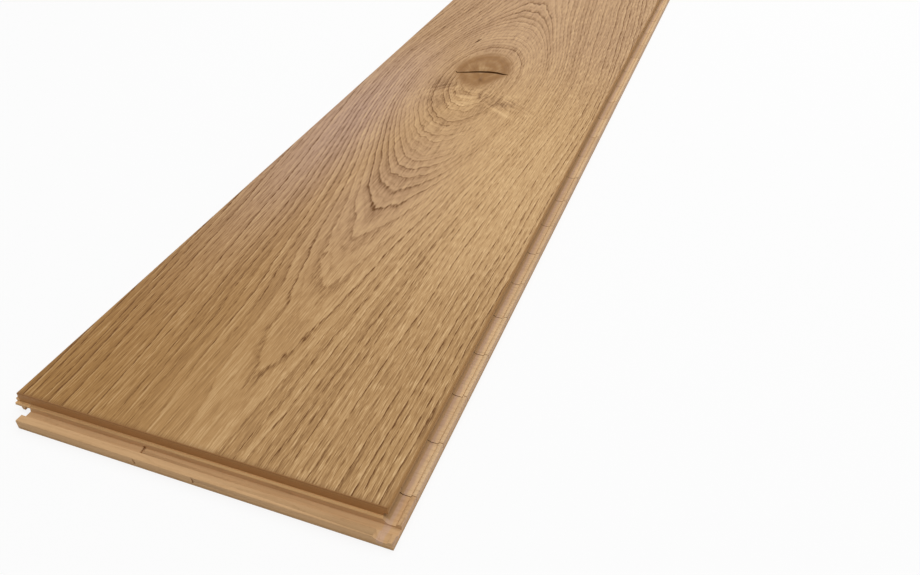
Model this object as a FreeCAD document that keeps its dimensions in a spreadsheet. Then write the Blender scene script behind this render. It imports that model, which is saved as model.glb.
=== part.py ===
import FreeCAD, Part
import Sketcher
import os
import re

# A wide three-layer floorboard: an oak face, glued on softwood slats that lie across the board,
# glued on a softwood backing sheet. All four edges are milled with a locking profile, so that
# boards click together: the right long edge and the front end have a lower lip with a ridge, and
# the left long edge and the rear end have the hook that drops over the next board's lip.
# X runs across the board, Y along it from front to rear, and Z up. Millimetres.

# Driving sizes: name, value and meaning
SIZES = [
    ("face_length", 2200.0, "oak face, front edge to rear edge"),
    ("face_width", 240.0, "oak face, left edge to right edge"),
    ("oak_thickness", 3.0, "oak face layer"),
    ("core_thickness", 8.5, "cross slats"),
    ("backing_thickness", 2.0, "backing sheet"),
    ("bevel", 0.6, "bevel round the oak face"),
    ("slat_width", 38.1, "one whole slat, along the board"),
    ("slat_gap", 0.5, "joint between two slats"),
    ("front_slat", 30.2, "first slat, from the tip of the front lip"),
    ("shortest_slat", 16.0, "least length of the rear slat"),
    ("groove_roof", 8.9, "roof of the right edge's groove, above the underside"),
    ("groove_depth", 2.8, "groove, in from the right edge"),
    ("groove_floor", 6.2, "back of the groove's floor, above the underside"),
    ("valley_height", 4.2, "floor of the side lip's valley, above the underside"),
    ("valley_start", 0.6, "foot of the ramp out of the groove, from the right edge"),
    ("valley_end", 5.0, "foot of the ridge, from the right edge"),
    ("ridge_start", 6.1, "inner top of the ridge, from the right edge"),
    ("ridge_height", 5.7, "top of the side lip's ridge, above the underside"),
    ("side_lip_reach", 8.5, "tip of the side lip, from the right edge"),
    ("ridge_round", 0.5, "rounding of the ridges"),
    ("tongue_play", 0.4, "room at the tongue's tip"),
    ("tongue_thickness", 2.1, "tongue of the left edge"),
    ("tongue_round", 0.6, "rounding of the tongue's tip"),
    ("nose_start", 2.6, "inner end of the tongue's underside, from the left edge"),
    ("nose_run", 0.4, "slope of the nose's outer flank"),
    ("lock_play", 0.25, "room between the hooks and the lips that they lock on"),
    ("lock_roof_play", 1.1, "room above the ridges"),
    ("lock_bevel", 1.0, "bevels of the lock groove's roof"),
    ("lip_play", 0.5, "room at the lips' tips"),
    ("ledge_height", 6.3, "ledge of the front end, above the underside"),
    ("ledge_reach", 1.8, "ledge, out from the front edge"),
    ("ledge_foot", 2.6, "foot of the ledge, from the front edge"),
    ("end_valley_height", 3.3, "floor of the front lip's valley, above the underside"),
    ("end_valley_end", 6.9, "foot of the front ridge, from the front edge"),
    ("end_ridge_start", 8.4, "inner top of the front ridge, from the front edge"),
    ("end_ridge_height", 6.4, "top of the front ridge, above the underside"),
    ("end_lip_reach", 13.3, "tip of the front lip, from the front edge"),
]
SIZE_NAMES = [name for name, value, meaning in SIZES]

# Places that several pieces share, as formulas of the sizes. They count from the tongue's tip
# in X, from the front lip's tip in Y and from the underside in Z.
LEFT_EDGE = "(groove_depth - tongue_play)"
RIGHT_EDGE = f"({LEFT_EDGE} + face_width)"
LIP_TIP = f"({RIGHT_EDGE} + side_lip_reach)"
SHOULDER = f"({LEFT_EDGE} + side_lip_reach + lip_play)"
FRONT_EDGE = "end_lip_reach"
REAR_EDGE = "(end_lip_reach + face_length)"
REAR_SHOULDER = f"({REAR_EDGE} - end_lip_reach - lip_play)"
CORE_TOP = "(backing_thickness + core_thickness)"
TONGUE_TOP = "(groove_roof - lock_play)"
TONGUE_UNDERSIDE = f"({TONGUE_TOP} - tongue_thickness)"
NOSE_BOTTOM = "(valley_height + lock_play)"
LOCK_ROOF = "(ridge_height + lock_roof_play)"
END_HOOK_ROOF = "(end_ridge_height + lock_play)"
SLAT_PITCH = "(slat_width + slat_gap)"
JOINT_COUNT = f"floor(({REAR_EDGE} - front_slat - shortest_slat) / {SLAT_PITCH}) + 1"

# Two places nearer than this are the same, and the property that holds each feature's size
SAME_PLACE = 1e-6
SIZE_OF = {"Fillet": "Radius", "Chamfer": "Size"}

doc = FreeCAD.newDocument("Floorboard")
sheet = doc.addObject("Spreadsheet::Sheet", "Sizes")
for row, (name, value, meaning) in enumerate(SIZES, start=1):
    sheet.set(f"A{row}", meaning)
    sheet.set(f"B{row}", str(value))
    sheet.setAlias(f"B{row}", name)
doc.recompute()


def cell(word):
    """The sheet's cell for a size name that a formula holds; any other word stays as it is."""
    return f"Sizes.{word[0]}" if word[0] in SIZE_NAMES else word[0]


def bound(formula):
    """Write a formula of size names as an expression that reads the sheet's cells."""
    return re.sub(r"[a-z_]+", cell, formula)


def value_of(formula):
    """The present value of a formula of size names."""
    return float(sheet.evalExpression(bound(formula)))


def make_body(label):
    """A new body whose frame is moved so that the board's bottom centre is the origin."""
    body = doc.addObject("PartDesign::Body", label)
    body.Label = label
    body.setExpression("Placement.Base.x", bound(f"-{LIP_TIP} / 2"))
    body.setExpression("Placement.Base.y", bound(f"-{REAR_EDGE} / 2"))
    return body


def draw_outline(body, name, plane_role, corners):
    """A closed sketch through corners, each pinned to a pair of formulas, on an origin plane."""
    sketch = body.newObject("Sketcher::SketchObject", name)
    plane = [feature for feature in body.Origin.OriginFeatures if feature.Role == plane_role][0]
    sketch.AttachmentSupport = [(plane, "")]
    sketch.MapMode = "FlatFace"
    points = [FreeCAD.Vector(value_of(across), value_of(up), 0) for across, up in corners]
    for index, start in enumerate(points):
        end = points[(index + 1) % len(points)]
        sketch.addGeometry(Part.LineSegment(start, end), False)
    for index in range(len(points)):
        following = (index + 1) % len(points)
        sketch.addConstraint(Sketcher.Constraint("Coincident", index, 2, following, 1))
    for index, formulas in enumerate(corners):
        for kind, formula in zip(("DistanceX", "DistanceY"), formulas):
            pin = Sketcher.Constraint(kind, -1, 1, index, 1, value_of(formula))
            number = sketch.addConstraint(pin)
            sketch.setExpression(f"Constraints[{number}]", bound(formula))
    return sketch


def rectangle(low, high):
    """Corners of the rectangle between two pairs of formulas."""
    return [low, (high[0], low[1]), high, (low[0], high[1])]


def pad(body, name, sketch, length, reverse=False):
    """Extrude a sketch by the length that a formula gives."""
    feature = body.newObject("PartDesign::Pad", name)
    feature.Profile = sketch
    feature.Reversed = reverse
    feature.setExpression("Length", bound(length))
    doc.recompute()
    return feature


def mill(body, name, sketch):
    """Cut a sketch right through the body, and make sure that it took material off."""
    before = body.Shape.Volume
    feature = body.newObject("PartDesign::Pocket", name)
    feature.Profile = sketch
    feature.Type = "ThroughAll"
    feature.Reversed = True
    doc.recompute()
    if not feature.Shape.Volume < before:
        raise RuntimeError(f"{name} cuts nothing")
    return feature


def ease_edges(body, name, base, kind, size, spots, axis):
    """Fillet or chamfer the edges of base that run along an axis through spots, pairs of formulas."""
    across = {"x": ("y", "z"), "y": ("x", "z")}[axis]
    targets = [(value_of(first), value_of(second)) for first, second in spots]
    chosen = []
    for number, edge in enumerate(base.Shape.Edges, start=1):
        ends = [vertex.Point for vertex in edge.Vertexes]
        for target in targets:
            gaps = [abs(getattr(end, way) - place) for end in ends for way, place in zip(across, target)]
            if max(gaps) < SAME_PLACE:
                chosen.append(f"Edge{number}")
    feature = body.newObject(f"PartDesign::{kind}", name)
    feature.Base = (base, chosen)
    feature.setExpression(SIZE_OF[kind], bound(size))
    doc.recompute()
    return feature


def make_oak_top_layer():
    """The oak face: one sheet with a small bevel round its upper side."""
    body = make_body("oak_top_layer")
    face = rectangle((LEFT_EDGE, FRONT_EDGE), (RIGHT_EDGE, REAR_EDGE))
    sketch = draw_outline(body, "oak_outline", "XY_Plane", face)
    sketch.setExpression("AttachmentOffset.Base.z", bound(CORE_TOP))
    sheet_of_oak = pad(body, "oak_sheet", sketch, "oak_thickness")
    faces = sheet_of_oak.Shape.Faces
    highest = max(range(len(faces)), key=lambda index: faces[index].CenterOfMass.z)
    bevel = body.newObject("PartDesign::Chamfer", "oak_bevel")
    bevel.Base = (sheet_of_oak, [f"Face{highest + 1}"])
    bevel.setExpression("Size", bound("bevel"))
    return body


def make_backing_veneer():
    """The backing sheet, from the hook's shoulder to the lip's tip on both axes."""
    body = make_body("backing_veneer")
    sheet_outline = rectangle((SHOULDER, "0"), (LIP_TIP, REAR_SHOULDER))
    sketch = draw_outline(body, "backing_outline", "XY_Plane", sheet_outline)
    pad(body, "backing_sheet", sketch, "backing_thickness")
    return body


def long_edge_section():
    """Section of the slats: the hook of the left edge, and the groove and lip of the right edge."""
    hook = [
        (SHOULDER, "backing_thickness"),
        (SHOULDER, LOCK_ROOF),
        (f"{LEFT_EDGE} + ridge_start - lock_play", LOCK_ROOF),
        (f"{LEFT_EDGE} + ridge_start - lock_play", "ridge_height"),
        (f"{LEFT_EDGE} + valley_end - lock_play", NOSE_BOTTOM),
        (f"{LEFT_EDGE} + nose_start + nose_run", NOSE_BOTTOM),
        (f"{LEFT_EDGE} + nose_start", TONGUE_UNDERSIDE),
        ("0", TONGUE_UNDERSIDE),
        ("0", TONGUE_TOP),
        (LEFT_EDGE, TONGUE_TOP),
        (LEFT_EDGE, CORE_TOP),
    ]
    groove_and_lip = [
        (RIGHT_EDGE, CORE_TOP),
        (RIGHT_EDGE, "groove_roof"),
        (f"{RIGHT_EDGE} - groove_depth", "groove_roof"),
        (f"{RIGHT_EDGE} - groove_depth", "groove_floor"),
        (f"{RIGHT_EDGE} + valley_start", "valley_height"),
        (f"{RIGHT_EDGE} + valley_end", "valley_height"),
        (f"{RIGHT_EDGE} + ridge_start", "ridge_height"),
        (LIP_TIP, "ridge_height"),
        (LIP_TIP, "backing_thickness"),
    ]
    return hook + groove_and_lip


def front_end_cut():
    """What the front end's mill takes off, above the ledge, valley and ridge of the front lip."""
    return [
        ("0", CORE_TOP),
        ("0", "end_ridge_height"),
        (f"{FRONT_EDGE} - end_ridge_start", "end_ridge_height"),
        (f"{FRONT_EDGE} - end_valley_end", "end_valley_height"),
        (f"{FRONT_EDGE} - ledge_foot", "end_valley_height"),
        (f"{FRONT_EDGE} - ledge_reach", "ledge_height"),
        (FRONT_EDGE, "ledge_height"),
        (FRONT_EDGE, CORE_TOP),
    ]


def rear_end_cut():
    """What the rear end's mill takes off, below the hook that drops over the next board's lip."""
    return [
        (REAR_EDGE, "backing_thickness"),
        (REAR_EDGE, "ledge_height + lock_play"),
        (f"{REAR_EDGE} - ledge_reach - lock_play", "ledge_height + lock_play"),
        (f"{REAR_EDGE} - ledge_foot - lock_play", "end_valley_height + lock_play"),
        (f"{REAR_EDGE} - end_valley_end + lock_play", "end_valley_height + lock_play"),
        (f"{REAR_EDGE} - end_ridge_start + lock_play", END_HOOK_ROOF),
        (REAR_SHOULDER, END_HOOK_ROOF),
        (REAR_SHOULDER, "backing_thickness"),
    ]


def make_core_slats():
    """The slats: one milled blank, parted by the joints between the slats."""
    body = make_body("core_slats")
    body.AllowCompound = True
    section = draw_outline(body, "long_edge_section", "XZ_Plane", long_edge_section())
    blank = pad(body, "slat_blank", section, REAR_EDGE, reverse=True)
    tip_edges = [("0", TONGUE_UNDERSIDE), ("0", TONGUE_TOP)]
    tongue = ease_edges(body, "tongue_tip", blank, "Fillet", "tongue_round", tip_edges, "y")
    roof_edges = [(SHOULDER, LOCK_ROOF), (f"{LEFT_EDGE} + ridge_start - lock_play", LOCK_ROOF)]
    lock = ease_edges(body, "lock_groove", tongue, "Chamfer", "lock_bevel", roof_edges, "y")
    ease_edges(body, "side_ridge", lock, "Fillet", "ridge_round", [(LIP_TIP, "ridge_height")], "y")
    front = mill(body, "front_end", draw_outline(body, "front_end_cut", "YZ_Plane", front_end_cut()))
    front_ridge = [("0", "end_ridge_height")]
    ease_edges(body, "front_ridge", front, "Fillet", "ridge_round", front_ridge, "x")
    mill(body, "rear_end", draw_outline(body, "rear_end_cut", "YZ_Plane", rear_end_cut()))
    front_corner = rectangle(("0", "0"), (SHOULDER, f"{FRONT_EDGE} - ledge_foot"))
    mill(body, "front_corner", draw_outline(body, "front_corner_cut", "XY_Plane", front_corner))
    rear_corner = rectangle((RIGHT_EDGE, REAR_SHOULDER), (LIP_TIP, REAR_EDGE))
    mill(body, "rear_corner", draw_outline(body, "rear_corner_cut", "XY_Plane", rear_corner))
    joint_outline = rectangle(("0", "front_slat"), (LIP_TIP, "front_slat + slat_gap"))
    joint_sketch = draw_outline(body, "slat_joint_outline", "XY_Plane", joint_outline)
    joint = mill(body, "slat_joint", joint_sketch)
    joints = body.newObject("PartDesign::LinearPattern", "slat_joints")
    joints.Originals = [joint]
    joints.Direction = (joint_sketch, ["V_Axis"])
    joints.setExpression("Length", bound(f"{SLAT_PITCH} * ({JOINT_COUNT} - 1)"))
    joints.setExpression("Occurrences", bound(JOINT_COUNT))
    body.Tip = joints
    return body


def check(pieces):
    """Stop unless every object is sound, and each layer has the solids that it should have."""
    for item in doc.Objects:
        if "Invalid" in item.State or "Error" in item.State:
            raise RuntimeError(f"{item.Label} failed: {item.State}")
    for piece in pieces:
        if piece.Shape.isNull() or not piece.Shape.isValid():
            raise RuntimeError(f"{piece.Label} has no sound shape")
    slat_count = round(value_of(JOINT_COUNT)) + 1
    for piece, count in zip(pieces, (1, slat_count, 1)):
        if len(piece.Shape.Solids) != count:
            raise RuntimeError(f"{piece.Label} has {len(piece.Shape.Solids)} solids, not {count}")


pieces = [make_oak_top_layer(), make_core_slats(), make_backing_veneer()]
doc.recompute()
check(pieces)
os.makedirs("parts", exist_ok=True)
for piece in pieces:
    piece.Shape.exportStep(f"parts/{piece.Label}.step")
    box = piece.Shape.BoundBox
    print(f"{piece.Label}: {len(piece.Shape.Solids)} solids, {piece.Shape.Volume / 1000:.1f} cm3, {box}")
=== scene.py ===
import bpy
import bmesh
import math
from mathutils import Matrix, Vector


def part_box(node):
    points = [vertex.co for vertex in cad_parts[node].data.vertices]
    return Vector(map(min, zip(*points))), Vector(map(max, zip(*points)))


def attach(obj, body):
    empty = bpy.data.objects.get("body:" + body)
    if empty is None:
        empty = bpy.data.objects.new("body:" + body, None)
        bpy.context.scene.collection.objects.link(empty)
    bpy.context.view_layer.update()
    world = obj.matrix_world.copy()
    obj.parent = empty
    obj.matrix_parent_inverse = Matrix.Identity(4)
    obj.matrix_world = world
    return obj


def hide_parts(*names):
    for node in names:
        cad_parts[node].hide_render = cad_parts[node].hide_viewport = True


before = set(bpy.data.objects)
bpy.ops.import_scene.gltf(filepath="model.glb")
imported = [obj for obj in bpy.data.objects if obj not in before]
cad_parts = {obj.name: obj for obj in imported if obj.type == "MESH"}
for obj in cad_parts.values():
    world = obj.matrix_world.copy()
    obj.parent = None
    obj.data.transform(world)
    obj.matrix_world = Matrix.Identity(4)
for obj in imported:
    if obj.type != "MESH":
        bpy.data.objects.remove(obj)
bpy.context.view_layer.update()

# Places on the board, in metres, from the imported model
FACE_LOW, FACE_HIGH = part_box("oak_top_layer")
CORE_LOW, CORE_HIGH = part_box("core_slats")
MM = 0.001
BEVEL = 0.6

# Slats, as the model has them, in millimetres from the tip of the front lip
FRONT_SLAT = 30.2
SLAT_PITCH = 38.6
LEDGE_HEIGHT = 6.3

# Growth of the oak: a trunk under a leaning spine, swollen round a knot, in millimetres from the
# face's front left corner, across and along
RING_WIDTH = 3.3
RING_SHIFT = 0.2
PITH_DEPTH = 40.0
PITH_PULL = 0.85
CROWN = 2.2
LEFT_SPREAD = 0.1
SPINE_ACROSS = 110.6
SPINE_ALONG = 511.8
SPINE_LEAN = -0.03
SWELL = 48.5
SWELL_ACROSS = 68.0
SWELL_FRONT = 145.0
SWELL_REAR = 116.0
LONG_SWELL = 18.0
LONG_SWELL_REACH = 286.0
TAPER = 0.006
TAPER_FRONT = 160.0
TAPER_REAR = 800.0

# The knot: a shield, widest behind its middle
KNOT_ACROSS = 106.0
KNOT_ALONG = 531.0
KNOT_HALF_WIDTH = 28.0
KNOT_REAR = 42.0
KNOT_FRONT = 46.0

# The knot's crack and a small check behind it: across, along and width of each station
KNOT_CRACK = [
    (80.4, 519.5, 1.0),
    (82.5, 516.9, 2.0),
    (92.5, 520.8, 3.2),
    (103.0, 525.4, 4.0),
    (113.3, 528.1, 4.4),
    (121.7, 528.6, 4.0),
    (129.0, 527.3, 3.0),
    (134.2, 527.6, 1.2),
]
SMALL_CHECK = [
    (72.7, 597.5, 0.5),
    (74.2, 602.5, 2.0),
    (75.4, 607.0, 1.8),
    (76.5, 611.0, 0.5),
]
CRACK_DEPTH = 2.2
CHECK_DEPTH = 0.7

# Splits in the front lip: across, along, height above the underside and width of each station
VALLEY_SPLIT = [
    (90.6, -2.0, 3.3, 2.0),
    (90.9, -4.4, 3.3, 1.7),
    (90.8, -6.9, 3.3, 1.0),
]
FACE_SPLIT_LEFT = [
    (91.0, -13.3, 5.6, 0.9),
    (91.7, -13.3, 3.4, 1.5),
    (91.9, -13.3, 2.1, 1.3),
]
FACE_SPLIT_MIDDLE = [
    (129.6, -13.3, 6.2, 0.7),
    (130.1, -13.3, 3.9, 1.2),
    (129.8, -13.3, 2.1, 1.0),
]
SPLIT_DEPTH = 1.2

# Left end of the front ledge, where it runs on to the tongue's tip: places across from the face's
# left edge and along from its front edge, heights above the underside
STUB_LEFT = -2.4
STUB_RIGHT = 9.4
STUB_FRONT = -2.15
STUB_REAR = 0.3
STUB_UNDERSIDE = 5.0
STUB_SLOPE = 0.35
STUB_ROUND = 0.5
STUB_NOSE = (2.3, 4.8)
STUB_NOSE_DROP = 2.5
STUB_NOSE_TAPER = (0.7, 0.9, 1.0)
STUB_NOSE_ALONG = -0.9
STUB_ROOF_START = 5.7
STUB_ROOF_RISE = 0.4

# Soft marks where the grain curls in front of the knot: across, along, half lengths across and
# along, turn in degrees, and how much darker (below nought) or paler they are
CURL_MARKS = [
    (79.0, 485.0, 13.0, 15.0, 20.0, -0.42),
    (150.0, 459.0, 15.0, 7.5, 20.0, -0.45),
    (140.0, 440.0, 15.0, 12.0, 0.0, -0.20),
    (88.0, 447.0, 12.0, 9.0, 0.0, -0.25),
    (113.0, 452.0, 13.0, 19.0, 0.0, 0.42),
    (153.0, 444.0, 19.0, 3.2, -33.0, 0.55),
    (82.0, 468.0, 20.0, 2.4, 52.0, 0.40),
    (123.5, 471.0, 1.8, 9.0, 12.0, -0.45),
    (111.3, 507.3, 2.2, 4.5, 8.0, -0.75),
    (104.0, 588.0, 30.0, 14.0, 0.0, -0.14),
]

# Frilled grain on both sides of the knot's front: as above, with the frills' spacing at the end
FRILLS = [
    (150.0, 464.0, 30.0, 15.0, -38.0, 2.2, 2.8),
    (79.0, 470.0, 24.0, 15.0, 45.0, 2.2, 2.6),
    (112.0, 462.0, 17.0, 24.0, 0.0, 1.8, 3.6),
]

# How long the frills run before they change, in millimetres
FRILL_LENGTH = 30.0

# Soft-edged stretches of the oak's face: across and along of the middle, half lengths across and along
CURLED_GRAIN = (115.0, 430.0, 42.0, 70.0)
LEFT_LOBE = (92.0, 130.0, 18.0, 50.0)
NEAR_KNOT = (125.0, 525.0, 90.0, 95.0)
PLAIN_FLANK = (152.0, 385.0, 28.0, 75.0)
LEFT_FLANK = (48.0, 350.0, 45.0, 130.0)
PLAIN_FRONT = (104.0, 30.0, 30.0, 85.0)
KNOT_HEART = (103.0, 541.0, 7.0, 9.0)
BRIGHT_RIGHT = (205.0, 330.0, 50.0, 130.0)
FRONT_MIDDLE = (108.0, 0.0, 45.0, 160.0)
# The rose stretch at the left is a painted sheen reflection
ROSE_SHEEN_LEFT = (25.0, 400.0, 45.0, 190.0)
ROSE_ARCH = (105.0, 280.0, 50.0, 110.0)
KNOT_PITH = (111.0, 508.0)

# Bands along the whole face: across of the middle and half width
SPINE_BAND = (115.0, 42.0)
ARCH_BAND = (108.0, 52.0)

# Slow changes over the face: where each starts and ends, across or along
RIGHTWARD = (10.0, 150.0)
GLINTS_RIGHTWARD = (90.0, 200.0)
REARWARD = (60.0, 470.0)
KNOT_NECK = (478.0, 506.0)
KNOT_RIM = (480.0, 540.0)
REAR_ROSE = (420.0, 640.0)
REAR_SHADE = (560.0, 680.0)

# Sizes of the oak's unevenness across and along, in millimetres
RUFFLE_SIZE = (9.0, 13.0)
WANDER_SIZE = (55.0, 190.0)
TEETH_SIZE = (3.2, 16.0)
FLAME_SIZE = (10.0, 55.0)
DASH_SIZE = (0.9, 8.0)
PORE_SIZE = (0.8, 12.0)
GLINT_SIZE = (0.7, 9.0)
FIBRE_SIZE = (1.0, 38.0)
STREAK_SIZE = (6.0, 240.0)
PATCH_SIZE = (80.0, 220.0)
END_SPECK_SIZE = (0.5, 0.5, 0.5)

# How far the unevenness moves the oak's lines: the wander in millimetres, the others in rings
WANDER = 9.0
UNEVEN_YEARS = 0.7
YEARS_TOGETHER = 0.4
TEETH = 0.42
FLAMES = 0.9
CURLS = 2.2
LOBE_PULL = -0.4

# Lines across one ring: pairs of place in the ring and strength
BROAD_LINE = [(0.0, 0.25), (0.03, 0.0), (0.5, 0.0), (0.75, 0.3), (0.9, 0.85), (0.96, 1.0), (1.0, 0.3)]
THIN_LINE = [(0.0, 0.3), (0.02, 0.0), (0.5, 0.0), (0.82, 0.35), (0.95, 1.0), (1.0, 0.4)]
# The lit edge is a painted highlight beside each ring's line
LIT_EDGE = [(0.0, 0.4), (0.06, 1.0), (0.25, 0.3), (0.5, 0.0), (1.0, 0.0)]
FINE_LINE = [(0.0, 0.0), (0.55, 0.1), (0.88, 1.0), (1.0, 0.0)]
FINE_LINES_A_RING = 2.3
SLAT_LATE_WOOD = [(0.0, 0.0), (0.55, 0.1), (0.9, 1.0), (1.0, 0.0)]
BACKING_LATE_WOOD = [(0.0, 0.0), (0.5, 0.15), (0.88, 0.8), (1.0, 0.0)]

# How much each mark darkens (below nought) or brightens the oak
RING_SHADE = -1.1
LIT_SHADE = 0.32
GLINT_SHADE = 0.6
YEAR_SHADE = 0.25
FIBRE_SHADE = 1.25
STREAK_SHADE = 0.45
PATCH_SHADE = 0.22
RIM_SHADE = -0.08
KNOT_RING_SHADE = 0.09
RAY_SHADE = 0.7
HEART_SHADE = 0.22
BRIGHT_SHADE = 0.33

# Softwood: sizes of its unevenness across, along and up, ring widths and how far its rings bend
SLAT_FIBRE_SIZE = (45.0, 0.9, 0.9)
SLAT_BEND_SIZE = (90.0, 14.0, 14.0)
SLAT_PATCH_SIZE = (30.0, 20.0)
SLAT_WOBBLE_SIZE = (3.0, 9.0)
SLAT_RING_WIDTH = 3.4
SLAT_BEND = 5.0
SLAT_TILT = 2.4
BACKING_FIBRE_SIZE = (0.9, 50.0, 0.9)
BACKING_WANDER_SIZE = (70.0, 400.0)
BACKING_PATCH_SIZE = (60.0, 250.0)
BACKING_RING_WIDTH = 11.0
BACKING_WANDER = 60.0

# Surfaces: mirror share of all woods, and depths of their relief in metres
SHEEN = 0.15
OAK_RELIEF = 0.00006
SLAT_RELIEF = 0.00008
BACKING_RELIEF = 0.0001

# Floor, lamp and light from all round, in metres and watts
FLOOR_SIZE = 12.0
FLOOR_GREY = (0.85, 0.85, 0.85, 1.0)
FLOOR_GLOW = 0.85
ROOM_LIGHT = 0.45
LAMP_PLACE = (0.4, 0.2, 2.4)
LAMP_SIZE = (3.0, 4.0)
LAMP_POWER = 60.0

# Photograph's camera, in millimetres and degrees
CAMERA_PLACE = (244.61, -1318.34, 355.17)
CAMERA_PITCH = 38.063
CAMERA_YAW = 21.033
CAMERA_ROLL = -0.830
CAMERA_LENS = 31.873
SENSOR_WIDTH = 36.0


def tone(red, green, blue):
    """A colour written as screen values from 0 to 255, as the linear colour that a socket takes."""
    values = []
    for value in (red, green, blue):
        share = value / 255
        values.append(share / 12.92 if share <= 0.04045 else ((share + 0.055) / 1.055) ** 2.4)
    return (*values, 1.0)


# Colours of the woods
OAK_TAN = tone(165, 123, 70)
OAK_PALE = tone(190, 151, 104)
OAK_ROSE = tone(186, 152, 129)
OAK_DARK = tone(104, 66, 32)
# Pale colour for the oak's pale grain and for its painted glints
OAK_PALE_GRAIN_AND_GLINT = tone(226, 190, 140)
OAK_END = tone(172, 126, 78)
OAK_SIDE = tone(170, 128, 80)
KNOT_BROWN = tone(138, 96, 49)
# Painted shade for the inside of the cracks
CRACK_SHADE_BROWN = tone(98, 62, 32)
SLAT_TAN = tone(204, 170, 130)
SLAT_ROSE = tone(198, 163, 136)
SLAT_PALE = tone(222, 189, 146)
SLAT_WARM = tone(200, 160, 115)
SLAT_LINE = tone(158, 118, 76)
# Painted highlight for the ledge's up-facing top
LEDGE_HIGHLIGHT_TAN = tone(230, 185, 128)
# Painted shade for the groove's mouth beside the oak
GROOVE_SHADE_BROWN = tone(180, 143, 101)
BACKING_TAN = tone(192, 154, 110)
BACKING_LINE = tone(160, 121, 80)


class Finish:
    """A wood finish: one material, with short ways to add the nodes that it is made of."""

    def __init__(self, name):
        self.material = bpy.data.materials.new(name)
        self.material.use_nodes = True
        self.nodes = self.material.node_tree.nodes
        self.links = self.material.node_tree.links
        self.shader = self.nodes["Principled BSDF"]
        place = self.nodes.new("ShaderNodeTexCoord").outputs["Object"]
        parts = self.nodes.new("ShaderNodeSeparateXYZ")
        self.links.new(place, parts.inputs[0])
        self.x, self.y, self.z = parts.outputs

    def feed(self, socket, value):
        """Set a socket to a number or colour, or link another node's output to it."""
        if isinstance(value, bpy.types.NodeSocket):
            self.links.new(value, socket)
        else:
            socket.default_value = value

    def math(self, operation, *values):
        node = self.nodes.new("ShaderNodeMath")
        node.operation = operation
        for socket, value in zip(node.inputs, values):
            self.feed(socket, value)
        return node.outputs[0]

    def plus(self, *values):
        total = values[0]
        for value in values[1:]:
            total = self.math("ADD", total, value)
        return total

    def minus(self, first, second):
        return self.math("SUBTRACT", first, second)

    def times(self, *values):
        total = values[0]
        for value in values[1:]:
            total = self.math("MULTIPLY", total, value)
        return total

    def over(self, first, second):
        return self.math("DIVIDE", first, second)

    def millimetres(self, value, start):
        """Millimetres from a place given in metres."""
        return self.over(self.minus(value, start), MM)

    def bell(self, *offsets):
        """One where every offset is nought, falling smoothly to nothing past one."""
        squares = [self.math("POWER", offset, 2.0) for offset in offsets]
        return self.math("EXPONENT", self.times(self.plus(*squares), -1.0))

    def step(self, value, low, high, at_low=0.0, at_high=1.0):
        """A smooth step between two values."""
        node = self.nodes.new("ShaderNodeMapRange")
        node.interpolation_type = "SMOOTHSTEP"
        for socket, number in zip(node.inputs, (value, low, high, at_low, at_high)):
            self.feed(socket, number)
        return node.outputs[0]

    def noise(self, across, along, up=0.0, detail=2.0, roughness=0.5):
        """Smooth noise about nought, from minus a half to a half, in already scaled places."""
        place = self.nodes.new("ShaderNodeCombineXYZ")
        for socket, value in zip(place.inputs, (across, along, up)):
            self.feed(socket, value)
        node = self.nodes.new("ShaderNodeTexNoise")
        self.links.new(place.outputs[0], node.inputs["Vector"])
        node.inputs["Scale"].default_value = 1.0
        node.inputs["Detail"].default_value = detail
        node.inputs["Roughness"].default_value = roughness
        return self.minus(node.outputs["Fac"], 0.5)

    def uneven(self, place, size, layer=0.0, **shape):
        """Smooth noise of a size across and along, and up where three are given; layers differ."""
        scaled = [self.over(value, length) for value, length in zip(place, size)]
        return self.noise(*(scaled + [layer])[:3], **shape)

    def stretch(self, across, along, area):
        """One in the middle of a soft-edged stretch, falling to nothing past its half lengths."""
        place_across, place_along, half_across, half_along = area
        beside = self.over(self.minus(across, place_across), half_across)
        behind = self.over(self.minus(along, place_along), half_along)
        return self.bell(beside, behind)

    def band(self, value, middle, half):
        """One in the middle of a soft-edged band, falling to nothing past its half width."""
        return self.bell(self.over(self.minus(value, middle), half))

    def chance(self, value):
        """A fixed random number from nought to one for each whole value."""
        node = self.nodes.new("ShaderNodeTexWhiteNoise")
        node.noise_dimensions = "1D"
        self.feed(node.inputs["W"], value)
        return node.outputs["Value"]

    def curve(self, value, stops):
        """A number for a value from nought to one, in straight runs between pairs of place and number."""
        return self.ramp(value, [(place, (number, number, number, 1.0)) for place, number in stops])

    def ramp(self, value, stops):
        """A colour for a value, from pairs of place and colour."""
        node = self.nodes.new("ShaderNodeValToRGB")
        points = node.color_ramp.elements
        while len(points) < len(stops):
            points.new(0.5)
        for point, (place, colour) in zip(points, stops):
            point.position = place
            point.color = colour
        self.feed(node.inputs["Fac"], value)
        return node.outputs["Color"]

    def blend(self, share, first, second):
        """The first colour where the share is nought, the second where it is one."""
        node = self.nodes.new("ShaderNodeMix")
        node.data_type = "RGBA"
        self.feed(node.inputs["Factor"], share)
        self.feed(node.inputs["A"], first)
        self.feed(node.inputs["B"], second)
        return node.outputs["Result"]

    def shaded(self, shade, body, above, below):
        """A body colour, moved to one colour where the shade is above nought and another below it."""
        colour = self.blend(self.math("MAXIMUM", shade, 0.0), body, above)
        return self.blend(self.math("MAXIMUM", self.times(shade, -1.0), 0.0), colour, below)

    def done(self, colour, roughness, height, depth):
        """The finished material: its colour and roughness, and a height raised by a depth in metres."""
        self.feed(self.shader.inputs["Base Color"], colour)
        self.feed(self.shader.inputs["Roughness"], roughness)
        self.shader.inputs["Specular IOR Level"].default_value = SHEEN
        node = self.nodes.new("ShaderNodeBump")
        node.inputs["Strength"].default_value = 1.0
        node.inputs["Distance"].default_value = depth
        self.links.new(height, node.inputs["Height"])
        self.links.new(node.outputs["Normal"], self.shader.inputs["Normal"])
        return self.material


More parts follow.
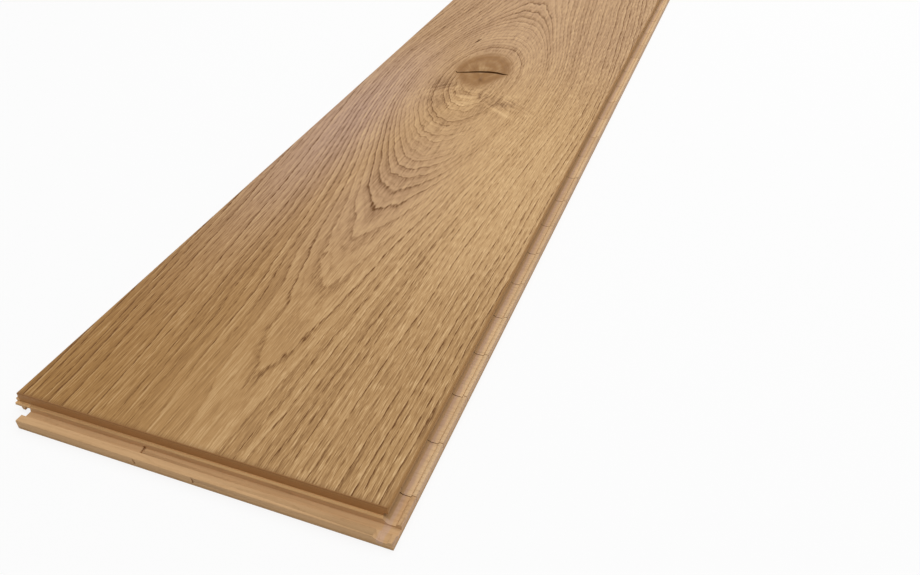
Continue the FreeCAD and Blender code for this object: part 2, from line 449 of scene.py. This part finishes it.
def growth_rings(oak, across, along, depth):
    """Growth rings counted through the face, more towards the spine and the knot."""
    behind = oak.minus(along, SPINE_ALONG)
    beside = oak.minus(across, oak.plus(oak.times(behind, SPINE_LEAN), SPINE_ACROSS))
    left = oak.math("LESS_THAN", beside, 0.0)
    beside = oak.times(beside, oak.minus(1.0, oak.times(left, LEFT_SPREAD)))
    rear = oak.math("GREATER_THAN", behind, 0.0)
    reach = oak.plus(oak.times(rear, SWELL_REAR - SWELL_FRONT), SWELL_FRONT)
    swell = oak.bell(oak.over(beside, SWELL_ACROSS), oak.over(behind, reach))
    long_swell = oak.bell(oak.over(behind, LONG_SWELL_REACH))
    deep = oak.math("POWER", oak.plus(depth, PITH_DEPTH), CROWN)
    wide = oak.math("POWER", oak.math("ABSOLUTE", beside), CROWN)
    radius = oak.math("POWER", oak.plus(wide, deep), 1.0 / CROWN)
    growth = oak.plus(
        oak.times(radius, -PITH_PULL),
        oak.times(swell, SWELL),
        oak.times(long_swell, LONG_SWELL),
    )
    front_taper = oak.math("MINIMUM", oak.minus(along, TAPER_FRONT), 0.0)
    rear_taper = oak.math("MINIMUM", oak.minus(TAPER_REAR, along), 0.0)
    taper = oak.times(oak.plus(front_taper, rear_taper), TAPER)
    return oak.plus(oak.over(growth, RING_WIDTH), taper, RING_SHIFT)


def knot_distance(oak, across, along):
    """Nought at the knot's heart, one at its rim."""
    behind = oak.minus(along, KNOT_ALONG)
    rear = oak.math("GREATER_THAN", behind, 0.0)
    reach = oak.plus(oak.times(rear, KNOT_REAR - KNOT_FRONT), KNOT_FRONT)
    narrowing = oak.step(behind, 0.0, -KNOT_FRONT, 1.0, 1.5)
    beside = oak.times(oak.minus(across, KNOT_ACROSS), narrowing)
    beside = oak.over(beside, KNOT_HALF_WIDTH)
    behind = oak.over(behind, reach)
    return oak.math("SQRT", oak.plus(oak.times(beside, beside), oak.times(behind, behind)))


def soft_mark(oak, across, along, mark, spacing=None):
    """A soft oval mark of the oak's face, darker or paler, or frilled at a spacing."""
    place_across, place_along, half_across, half_along, turn, strength = mark
    cosine = math.cos(math.radians(turn))
    sine = math.sin(math.radians(turn))
    beside = oak.minus(across, place_across)
    behind = oak.minus(along, place_along)
    first = oak.plus(oak.times(beside, cosine / half_across), oak.times(behind, sine / half_across))
    second = oak.minus(oak.times(behind, cosine / half_along), oak.times(beside, sine / half_along))
    if spacing is None:
        return oak.times(oak.bell(first, second), strength)
    onward = oak.times(first, half_across / FRILL_LENGTH)
    frills = oak.noise(onward, oak.times(second, half_along / spacing), spacing)
    return oak.times(oak.bell(first, second), frills, strength)


def oak_finish():
    """Oiled oak: growth rings round a knot, pores along the grain, and paler and darker stretches."""
    oak = Finish("oiled_oak")
    across = oak.millimetres(oak.x, FACE_LOW.x)
    along = oak.millimetres(oak.y, FACE_LOW.y)
    depth = oak.times(oak.millimetres(oak.z, FACE_HIGH.z), -1.0)
    face = (across, along)

    # Rings, with a slow wander, fine teeth, and flames and curls along the spine
    ruffle_across = oak.uneven(face, RUFFLE_SIZE)
    ruffle_along = oak.uneven(face, RUFFLE_SIZE, layer=7.0)
    wander = oak.times(oak.uneven(face, WANDER_SIZE), WANDER)
    rings = growth_rings(oak, oak.plus(across, wander), along, depth)
    rings = oak.plus(
        rings,
        oak.times(oak.noise(oak.times(rings, YEARS_TOGETHER), 3.7), UNEVEN_YEARS),
        oak.times(oak.uneven(face, TEETH_SIZE, detail=3.0, roughness=0.6), TEETH),
        oak.times(oak.uneven(face, FLAME_SIZE, detail=3.0), oak.band(across, *SPINE_BAND), FLAMES),
        oak.times(oak.stretch(*face, CURLED_GRAIN), ruffle_along, CURLS),
        oak.times(oak.stretch(*face, LEFT_LOBE), LOBE_PULL),
    )
    phase = oak.math("FRACT", rings)
    year = oak.math("FLOOR", rings)
    year_strength = oak.step(oak.chance(year), 0.0, 1.0, 0.35, 1.0)
    year_tone = oak.minus(oak.chance(oak.plus(year, 0.37)), 0.5)
    arched = oak.band(across, *ARCH_BAND)
    broad_line = oak.times(oak.curve(phase, BROAD_LINE), oak.minus(1.0, arched))
    thin_line = oak.times(oak.curve(phase, THIN_LINE), arched)
    line = oak.plus(broad_line, thin_line)
    # Painted highlight: a pale line along each ring's line
    lit_edge = oak.curve(phase, LIT_EDGE)

    # Fine lines between the rings, and where the rings are faint or strong
    fine_line = oak.curve(oak.math("FRACT", oak.times(rings, FINE_LINES_A_RING)), FINE_LINE)
    near_knot = oak.stretch(*face, NEAR_KNOT)
    plain_front = oak.stretch(*face, PLAIN_FRONT)
    faintness = oak.plus(
        oak.times(near_knot, 0.4),
        oak.times(oak.stretch(*face, PLAIN_FLANK), 0.6),
        oak.times(oak.stretch(*face, LEFT_FLANK), -0.55),
        oak.times(plain_front, 0.7),
    )
    ring_strength = oak.times(year_strength, oak.math("MAXIMUM", oak.minus(1.0, faintness), 0.2))
    fine_strength = oak.step(near_knot, 0.0, 0.7, 0.3, 0.45)

    # Pores, fibres and broad stretches
    dashes = oak.step(oak.uneven(face, DASH_SIZE, roughness=0.6), -0.16, 0.12, 0.2, 1.0)
    pores = oak.step(oak.uneven(face, PORE_SIZE, detail=1.0), 0.0, 0.18)
    pores = oak.times(pores, oak.step(line, 0.0, 0.6, 0.45, 1.0))
    # Glints: pale flecks along the grain on the right, partly the oak's ray fleck and partly painted
    # highlight
    glints = oak.step(oak.uneven(face, GLINT_SIZE, layer=5.0), 0.0, 0.2)
    glints = oak.times(glints, oak.step(across, *GLINTS_RIGHTWARD, 0.25, 1.0))
    fibres = oak.uneven(face, FIBRE_SIZE, detail=1.0)
    streaks = oak.uneven(face, STREAK_SIZE, detail=3.0)
    patches = oak.uneven(face, PATCH_SIZE, layer=2.0, detail=1.0)

    # The knot and the curled grain in front of it
    ruffled_across = oak.plus(across, oak.times(ruffle_across, 5.0))
    ruffled_along = oak.plus(along, oak.times(ruffle_along, 6.0))
    knot = knot_distance(oak, oak.plus(across, oak.times(ruffle_across, 3.0)), along)
    in_knot = oak.times(oak.step(knot, 1.2, 0.8), oak.step(along, *KNOT_NECK, 0.25, 1.0))
    beyond_knot = oak.minus(1.0, in_knot)
    rim = oak.times(oak.band(knot, 0.98, 0.06), oak.step(along, *KNOT_RIM))
    knot_rings = oak.math("SINE", oak.times(oak.plus(knot, oak.times(ruffle_along, 0.25)), 14.0))
    marks = [soft_mark(oak, ruffled_across, ruffled_along, mark) for mark in CURL_MARKS]
    marks += [soft_mark(oak, ruffled_across, ruffled_along, frill[:-1], frill[-1]) for frill in FRILLS]
    beside_pith = oak.minus(across, KNOT_PITH[0])
    before_pith = oak.times(oak.minus(along, KNOT_PITH[1]), -1.0)
    turn = oak.math("ARCTAN2", beside_pith, before_pith)
    rays = oak.noise(oak.times(turn, 9.0), oak.times(knot, 1.6), 4.0)

    # How much darker or paler than the body each place is
    # A paler stretch on the right, partly the oak's own tone and partly painted light
    bright_right = oak.stretch(*face, BRIGHT_RIGHT)
    grain = oak.plus(
        oak.times(line, dashes, ring_strength, RING_SHADE),
        oak.times(lit_edge, dashes, ring_strength, LIT_SHADE),
        oak.times(fine_line, dashes, fine_strength, oak.step(plain_front, 0.0, 1.0, -1.0, -0.3)),
        oak.times(pores, oak.step(plain_front, 0.0, 1.0, -0.42, -0.2)),
        oak.times(glints, GLINT_SHADE),
        oak.times(year_tone, YEAR_SHADE),
    )
    shade = oak.plus(
        oak.times(grain, beyond_knot),
        oak.times(fibres, beyond_knot, FIBRE_SHADE),
        oak.times(streaks, beyond_knot, STREAK_SHADE),
        oak.times(patches, PATCH_SHADE),
        oak.times(rim, RIM_SHADE),
        oak.times(knot_rings, in_knot, KNOT_RING_SHADE),
        oak.times(rays, in_knot, RAY_SHADE),
        oak.times(oak.stretch(*face, KNOT_HEART), HEART_SHADE),
        oak.times(bright_right, BRIGHT_SHADE),
        oak.step(along, *REAR_SHADE, 0.0, -0.06),
        *marks,
    )

    # The body: tan in front, paler behind and to the right (partly the oak's own tone, partly painted
    # light), rose at the left (a painted sheen reflection) and inside the arches
    # Paler towards the rear and right: partly the oak's own tone, partly painted light
    paleness = oak.plus(
        oak.step(along, *REARWARD, 0.0, 0.7),
        oak.times(oak.step(across, *RIGHTWARD), oak.step(along, *REARWARD, 0.6, 0.3)),
        oak.times(oak.stretch(*face, FRONT_MIDDLE), -0.05),
        oak.times(bright_right, 0.7),
    )
    # Painted reflection: a rose sheen over the left of the face
    rose = oak.times(oak.stretch(*face, ROSE_SHEEN_LEFT), 0.95)
    rose = oak.math("MAXIMUM", rose, oak.times(oak.stretch(*face, ROSE_ARCH), 0.35))
    rose = oak.math("MAXIMUM", rose, oak.step(along, *REAR_ROSE, 0.0, 0.28))
    body = oak.blend(paleness, OAK_TAN, OAK_PALE)
    body = oak.blend(rose, body, OAK_ROSE)
    body = oak.blend(oak.times(in_knot, 0.85), body, KNOT_BROWN)
    colour = oak.shaded(shade, body, OAK_PALE_GRAIN_AND_GLINT, OAK_DARK)

    # Edges that darken, sawn sides, end grain, and painted shade inside the cracks
    length = (FACE_HIGH.y - FACE_LOW.y) / MM
    width = (FACE_HIGH.x - FACE_LOW.x) / MM
    from_end = oak.math("MINIMUM", along, oak.minus(length, along))
    from_side = oak.math("MINIMUM", across, oak.minus(width, across))
    colour = oak.blend(oak.step(from_side, 3.0, 0.6, 0.0, 0.06), colour, OAK_DARK)
    colour = oak.blend(oak.step(from_side, 0.75, 0.35), colour, OAK_SIDE)
    colour = oak.blend(oak.step(from_end, 4.0, 0.6, 0.0, 0.3), colour, OAK_DARK)
    specks = oak.uneven((across, along, depth), END_SPECK_SIZE, detail=1.0)
    end_colour = oak.blend(oak.step(specks, -0.1, 0.25, 0.0, 0.3), OAK_END, OAK_DARK)
    end_colour = oak.blend(oak.step(depth, 0.9, 0.4, 0.0, 0.4), end_colour, OAK_DARK)
    colour = oak.blend(oak.step(from_end, 0.9, 0.5), colour, end_colour)
    # Painted shade: every sunken place away from the ends and sides, the cracks' sides and floors,
    # darkened to a dark brown
    inland = oak.times(oak.step(from_end, 300.0, 400.0), oak.step(from_side, 20.0, 40.0))
    colour = oak.blend(oak.times(oak.step(depth, 0.05, 0.5), inland), colour, CRACK_SHADE_BROWN)
    roughness = oak.step(grain, -0.5, 0.2, 0.68, 0.5)
    height = oak.plus(oak.times(grain, beyond_knot), oak.times(fibres, 0.5))
    return oak.done(colour, roughness, height, OAK_RELIEF)


def slat_finish():
    """Planed softwood slats across the board, each of its own tone, with rose bands, painted shade in the
    groove's mouth, a painted highlight on the ledge, and the oak's end colour above the ledge.
    """
    wood = Finish("planed_softwood_slats")
    across = wood.over(wood.x, MM)
    along = wood.millimetres(wood.y, CORE_LOW.y)
    up = wood.over(wood.z, MM)
    place = (across, along, up)

    # Rings and fibres of each slat
    slat = wood.math("FLOOR", wood.over(wood.minus(along, FRONT_SLAT), SLAT_PITCH))
    tilt = wood.times(wood.minus(wood.chance(slat), 0.5), SLAT_TILT)
    fibres = wood.uneven(place, SLAT_FIBRE_SIZE, detail=3.0, roughness=0.6)
    bend = wood.times(wood.uneven(place, SLAT_BEND_SIZE), SLAT_BEND)
    rise = wood.times(wood.over(up, SLAT_RING_WIDTH), tilt)
    year = wood.plus(wood.over(along, SLAT_RING_WIDTH), rise, bend)
    late = wood.curve(wood.math("FRACT", year), SLAT_LATE_WOOD)
    tint = wood.chance(wood.plus(slat, 0.41))
    body = wood.blend(wood.step(tint, 0.0, 1.0, 0.0, 0.75), SLAT_TAN, SLAT_PALE)
    front = wood.step(along, FRONT_SLAT + 0.2, FRONT_SLAT - 0.2)
    body = wood.blend(wood.times(front, 0.85), body, SLAT_WARM)

    # Rose bands where the side lip leaves the groove and along its outer edge
    edge = wood.millimetres(wood.x, FACE_HIGH.x)
    slat_wobble = wood.uneven((across, along), SLAT_WOBBLE_SIZE, detail=3.0)
    rose_band = wood.step(wood.plus(edge, wood.times(slat_wobble, 3.0)), 3.6, 2.2)
    rose_band = wood.times(wood.step(edge, -1.5, -0.5), rose_band)
    body = wood.blend(wood.times(rose_band, 0.8), body, SLAT_ROSE)
    outer = wood.step(across, CORE_HIGH.x / MM - 0.5, CORE_HIGH.x / MM - 0.2)
    body = wood.blend(wood.times(outer, 0.6), body, SLAT_ROSE)
    shade = wood.plus(
        wood.times(late, wood.step(slat_wobble, -0.2, 0.2, 0.1, 0.3)),
        wood.times(fibres, -0.55),
        wood.times(wood.uneven((across, along), SLAT_PATCH_SIZE, layer=3.0), -0.3),
    )
    colour = wood.shaded(shade, body, SLAT_LINE, SLAT_PALE)

    # Painted shade in the groove's mouth and the start of the lip's valley, a painted highlight on the
    # ledge, and the core's end above the ledge given the oak's end colour
    from_face = wood.millimetres(wood.y, FACE_LOW.y)
    # Painted shade: the oak's side and the lip's valley next to it darkened where the groove's shadow
    # falls
    groove_shade = wood.times(wood.step(edge, -4.0, -3.0), wood.step(edge, 1.1, 0.2))
    groove_shade = wood.times(groove_shade, wood.step(from_face, -0.2, 0.3))
    colour = wood.blend(groove_shade, colour, GROOVE_SHADE_BROWN)
    # Painted highlight: the ledge's top made paler than the slats, standing in for the light it catches
    ledge = wood.times(wood.step(from_face, -2.4, -1.9), wood.step(from_face, 0.2, -0.1))
    ledge = wood.times(ledge, wood.step(up, LEDGE_HEIGHT - 0.5, LEDGE_HEIGHT - 0.1))
    colour = wood.blend(wood.times(ledge, 0.9), colour, LEDGE_HIGHLIGHT_TAN)
    # The core's end face above the ledge, at the front, given the oak's end colour
    oak_coloured_end = wood.times(wood.step(from_face, -0.6, -0.1), wood.step(from_face, 0.8, 0.3))
    oak_coloured_end = wood.times(oak_coloured_end, wood.step(up, LEDGE_HEIGHT + 0.1, LEDGE_HEIGHT + 0.5))
    oak_coloured_end = wood.times(oak_coloured_end, wood.step(wood.millimetres(wood.x, FACE_LOW.x), -0.3, 0.2))
    colour = wood.blend(oak_coloured_end, colour, OAK_END)
    roughness = wood.step(fibres, -0.3, 0.3, 0.62, 0.78)
    return wood.done(colour, roughness, wood.minus(fibres, wood.times(late, 0.3)), SLAT_RELIEF)


def backing_finish():
    """The peeled softwood backing, with its grain along the board."""
    wood = Finish("softwood_backing")
    across = wood.over(wood.x, MM)
    along = wood.over(wood.y, MM)
    up = wood.over(wood.z, MM)
    wander = wood.times(wood.uneven((across, along), BACKING_WANDER_SIZE, detail=3.0), BACKING_WANDER)
    year = wood.over(wood.plus(across, wander, wood.times(up, 3.0)), BACKING_RING_WIDTH)
    late = wood.curve(wood.math("FRACT", year), BACKING_LATE_WOOD)
    fibres = wood.uneven((across, along, up), BACKING_FIBRE_SIZE, detail=3.0, roughness=0.6)
    patches = wood.uneven((across, along), BACKING_PATCH_SIZE)
    shade = wood.plus(wood.times(late, 0.4), wood.times(fibres, -0.5), wood.times(patches, 0.3), 0.1)
    colour = wood.blend(shade, BACKING_TAN, BACKING_LINE)
    roughness = wood.step(fibres, -0.3, 0.3, 0.65, 0.8)
    return wood.done(colour, roughness, wood.minus(fibres, wood.times(late, 0.3)), BACKING_RELIEF)


def pick(piece, kind, test):
    """In edit mode, select the faces or edges of a piece that pass a test, and nothing else."""
    bpy.ops.mesh.select_all(action="DESELECT")
    mesh = bmesh.from_edit_mesh(piece.data)
    for item in getattr(mesh, kind):
        if test(item):
            item.select_set(True)
    mesh.select_flush_mode()
    bmesh.update_edit_mesh(piece.data)


def start_piece(name, low, high):
    """A block between two corners, ready to be shaped in edit mode."""
    bpy.ops.object.select_all(action="DESELECT")
    bpy.ops.mesh.primitive_cube_add(size=1.0, location=(low + high) / 2, scale=high - low)
    piece = bpy.context.active_object
    piece.name = name
    bpy.ops.object.transform_apply(location=True, rotation=True, scale=True)
    return piece


def join_by(piece, tool, operation):
    """Cut a tool out of a piece or weld it on, and take the tool away."""
    bpy.ops.object.select_all(action="DESELECT")
    bpy.context.view_layer.objects.active = piece
    piece.select_set(True)
    change = piece.modifiers.new(tool.name, "BOOLEAN")
    change.operation = operation
    change.solver = "EXACT"
    change.object = tool
    bpy.ops.object.modifier_apply(modifier=change.name)
    bpy.data.objects.remove(tool)


def cut_crack(piece, stations, run, wide, depth):
    """Cut a crack through stations on a surface, each a place and a width, all in metres.

    run is the axis that the crack follows and wide the axis of its width; it goes as deep each
    way along the third axis.
    """
    deep = 3 - run - wide
    first, first_width = stations[0]
    half = Vector((0, 0, 0))
    half[run] = 0.05 * MM
    half[wide] = first_width / 2
    half[deep] = depth
    tool = start_piece("crack_tool", first - half, first + half)
    onward = math.copysign(1.0, stations[-1][0][run] - first[run])
    bpy.ops.object.mode_set(mode="EDIT")
    bpy.ops.mesh.select_mode(type="FACE")
    pick(tool, "faces", lambda face: face.normal[run] * onward > 0.9)
    place, width = first, first_width
    for next_place, next_width in stations[1:]:
        bpy.ops.mesh.extrude_region_move(TRANSFORM_OT_translate={"value": next_place - place})
        scale = [1.0, 1.0, 1.0]
        scale[wide] = next_width / width
        bpy.ops.transform.resize(value=scale, center_override=next_place)
        place, width = next_place, next_width
    bpy.ops.mesh.select_all(action="SELECT")
    bpy.ops.mesh.normals_make_consistent(inside=False)
    bpy.ops.object.mode_set(mode="OBJECT")
    join_by(piece, tool, "DIFFERENCE")


def hang(piece, node, material):
    """Put a new piece in a carried-over piece's place, with its finish."""
    piece.data.materials.clear()
    piece.data.materials.append(material)
    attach(piece, "root")
    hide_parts(node)


def on_face(across, along):
    """A place on the oak's face from its front left corner, in millimetres."""
    return Vector((FACE_LOW.x + across * MM, FACE_LOW.y + along * MM, FACE_HIGH.z))


def on_lip(across, along, up):
    """A place on the front lip from the face's front left corner and the underside, in millimetres."""
    return Vector((FACE_LOW.x + across * MM, FACE_LOW.y + along * MM, up * MM))


def shape_oak_face():
    """The oak face: a sheet with eased edges, split by the knot's crack and a small check."""
    sheet = start_piece("oak_face", FACE_LOW, FACE_HIGH)
    bpy.ops.object.mode_set(mode="EDIT")
    bpy.ops.mesh.select_mode(type="EDGE")
    top = FACE_HIGH.z - MM / 10
    pick(sheet, "edges", lambda edge: all(corner.co.z > top for corner in edge.verts))
    bpy.ops.mesh.bevel(offset=BEVEL * MM, segments=3, profile=0.5, affect="EDGES")
    bpy.ops.object.mode_set(mode="OBJECT")
    crack = [(on_face(across, along), width * MM) for across, along, width in KNOT_CRACK]
    cut_crack(sheet, crack, 0, 1, CRACK_DEPTH * MM)
    check = [(on_face(across, along), width * MM) for across, along, width in SMALL_CHECK]
    cut_crack(sheet, check, 1, 0, CHECK_DEPTH * MM)
    bpy.ops.object.shade_smooth_by_angle(angle=math.radians(40))
    hang(sheet, "oak_top_layer", oak_finish())


def shape_ledge_stub():
    """The ledge's left end: a flat stub with a rounded tip, a nose under it and a raised roof beside."""
    low = on_lip(STUB_LEFT, STUB_FRONT, STUB_UNDERSIDE)
    high = on_lip(STUB_RIGHT, STUB_REAR, LEDGE_HEIGHT)
    stub = start_piece("ledge_stub", low, high)
    middle = (low.z + high.z) / 2
    front = low.y + MM / 10
    tip = low.x + MM / 10
    bpy.ops.object.mode_set(mode="EDIT")
    bpy.ops.mesh.select_mode(type="EDGE")
    pick(stub, "edges", lambda edge: all(end.co.z > middle and end.co.y < front for end in edge.verts))
    bpy.ops.transform.translate(value=(0, STUB_SLOPE * MM, 0))
    pick(stub, "edges", lambda edge: all(end.co.x < tip for end in edge.verts))
    bpy.ops.mesh.bevel(offset=STUB_ROUND * MM, segments=3, profile=0.5, affect="EDGES")
    cuts = (*STUB_NOSE, STUB_ROOF_START)
    for across in cuts:
        bpy.ops.mesh.select_all(action="SELECT")
        bpy.ops.mesh.bisect(plane_co=on_lip(across, 0, 0), plane_no=(1, 0, 0))
    nose_left, nose_right, roof_left = [FACE_LOW.x + across * MM for across in cuts]

    def underside(left, right):
        return lambda face: face.normal.z < -0.9 and left < face.calc_center_median().x < right

    bpy.ops.mesh.select_mode(type="FACE")
    pick(stub, "faces", underside(roof_left, high.x))
    bpy.ops.transform.translate(value=(0, 0, STUB_ROOF_RISE * MM))
    pick(stub, "faces", underside(nose_left, nose_right))
    bpy.ops.mesh.extrude_region_move(TRANSFORM_OT_translate={"value": (0, 0, -STUB_NOSE_DROP * MM)})
    nose_middle = on_lip(sum(STUB_NOSE) / 2, STUB_NOSE_ALONG, 0)
    bpy.ops.transform.resize(value=STUB_NOSE_TAPER, center_override=nose_middle)
    bpy.ops.mesh.select_all(action="SELECT")
    bpy.ops.mesh.normals_make_consistent(inside=False)
    bpy.ops.object.mode_set(mode="OBJECT")
    return stub


def shape_slats():
    """The slats, with the splits in the front lip and the ledge's left end."""
    bpy.ops.object.select_all(action="DESELECT")
    slats = bpy.data.objects.new("softwood_slats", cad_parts["core_slats"].data.copy())
    bpy.context.scene.collection.objects.link(slats)
    bpy.context.view_layer.objects.active = slats
    slats.select_set(True)
    bpy.ops.object.mode_set(mode="EDIT")
    bpy.ops.mesh.select_all(action="SELECT")
    bpy.ops.mesh.remove_doubles(threshold=MM / 1000)
    bpy.ops.object.mode_set(mode="OBJECT")
    for stations, run in ((VALLEY_SPLIT, 1), (FACE_SPLIT_LEFT, 2), (FACE_SPLIT_MIDDLE, 2)):
        split = [(on_lip(across, along, up), width * MM) for across, along, up, width in stations]
        cut_crack(slats, split, run, 0, SPLIT_DEPTH * MM)
    join_by(slats, shape_ledge_stub(), "UNION")
    bpy.ops.object.shade_smooth_by_angle(angle=math.radians(25))
    hang(slats, "core_slats", slat_finish())


def dress(node, material):
    """Give a carried-over piece its finish."""
    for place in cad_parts[node].material_slots:
        place.material = material


def straight_rays(nodes, links):
    """One for rays that come from the camera, straight or by a mirror or glass, else nought."""
    path = nodes.new("ShaderNodeLightPath")
    ray = path.outputs["Is Camera Ray"]
    for kind in ("Is Glossy Ray", "Is Transmission Ray"):
        both = nodes.new("ShaderNodeMath")
        both.operation = "MAXIMUM"
        links.new(ray, both.inputs[0])
        links.new(path.outputs[kind], both.inputs[1])
        ray = both.outputs[0]
    return ray


def lay_floor():
    """A pale floor that looks white to the camera and keeps the board's shadow."""
    bpy.ops.object.select_all(action="DESELECT")
    bpy.ops.mesh.primitive_plane_add(size=FLOOR_SIZE, location=(0, 0, 0))
    floor = bpy.context.active_object
    floor.name = "floor"
    material = bpy.data.materials.new("pale_floor")
    material.use_nodes = True
    nodes = material.node_tree.nodes
    links = material.node_tree.links
    shader = nodes["Principled BSDF"]
    shader.inputs["Base Color"].default_value = FLOOR_GREY
    shader.inputs["Roughness"].default_value = 0.9
    glow = nodes.new("ShaderNodeEmission")
    share = nodes.new("ShaderNodeMath")
    share.operation = "MULTIPLY"
    links.new(straight_rays(nodes, links), share.inputs[0])
    share.inputs[1].default_value = FLOOR_GLOW
    mix = nodes.new("ShaderNodeMixShader")
    links.new(share.outputs[0], mix.inputs[0])
    links.new(shader.outputs[0], mix.inputs[1])
    links.new(glow.outputs[0], mix.inputs[2])
    links.new(mix.outputs[0], nodes["Material Output"].inputs["Surface"])
    floor.data.materials.append(material)


def light_studio():
    """Even light from all round, and one broad soft lamp overhead."""
    world = bpy.data.worlds.new("studio")
    world.use_nodes = True
    bpy.context.scene.world = world
    nodes = world.node_tree.nodes
    links = world.node_tree.links
    background = nodes["Background"]
    level = nodes.new("ShaderNodeMapRange")
    links.new(straight_rays(nodes, links), level.inputs["Value"])
    level.inputs["To Min"].default_value = ROOM_LIGHT
    level.inputs["To Max"].default_value = 1.0
    links.new(level.outputs["Result"], background.inputs["Strength"])
    background.inputs["Color"].default_value = (1, 1, 1, 1)
    lamp_data = bpy.data.lights.new("overhead", "AREA")
    lamp_data.shape = "RECTANGLE"
    lamp_data.size = LAMP_SIZE[0]
    lamp_data.size_y = LAMP_SIZE[1]
    lamp_data.energy = LAMP_POWER
    lamp = bpy.data.objects.new("overhead", lamp_data)
    lamp.location = LAMP_PLACE
    bpy.context.scene.collection.objects.link(lamp)


def place_camera():
    """The photograph's camera."""
    data = bpy.data.cameras.new("photograph")
    data.sensor_width = SENSOR_WIDTH
    data.lens = CAMERA_LENS
    data.clip_start = 0.01
    camera = bpy.data.objects.new("photograph", data)
    turn = Matrix.Rotation(math.radians(CAMERA_YAW), 4, "Z")
    tilt = Matrix.Rotation(math.radians(90 - CAMERA_PITCH), 4, "X")
    roll = Matrix.Rotation(math.radians(CAMERA_ROLL), 4, "Z")
    place = Matrix.Translation([value * MM for value in CAMERA_PLACE])
    camera.matrix_world = place @ turn @ tilt @ roll
    bpy.context.scene.collection.objects.link(camera)
    bpy.context.scene.camera = camera


shape_oak_face()
shape_slats()
dress("backing_veneer", backing_finish())
lay_floor()
light_studio()
place_camera()
bpy.context.scene.view_settings.view_transform = "Standard"
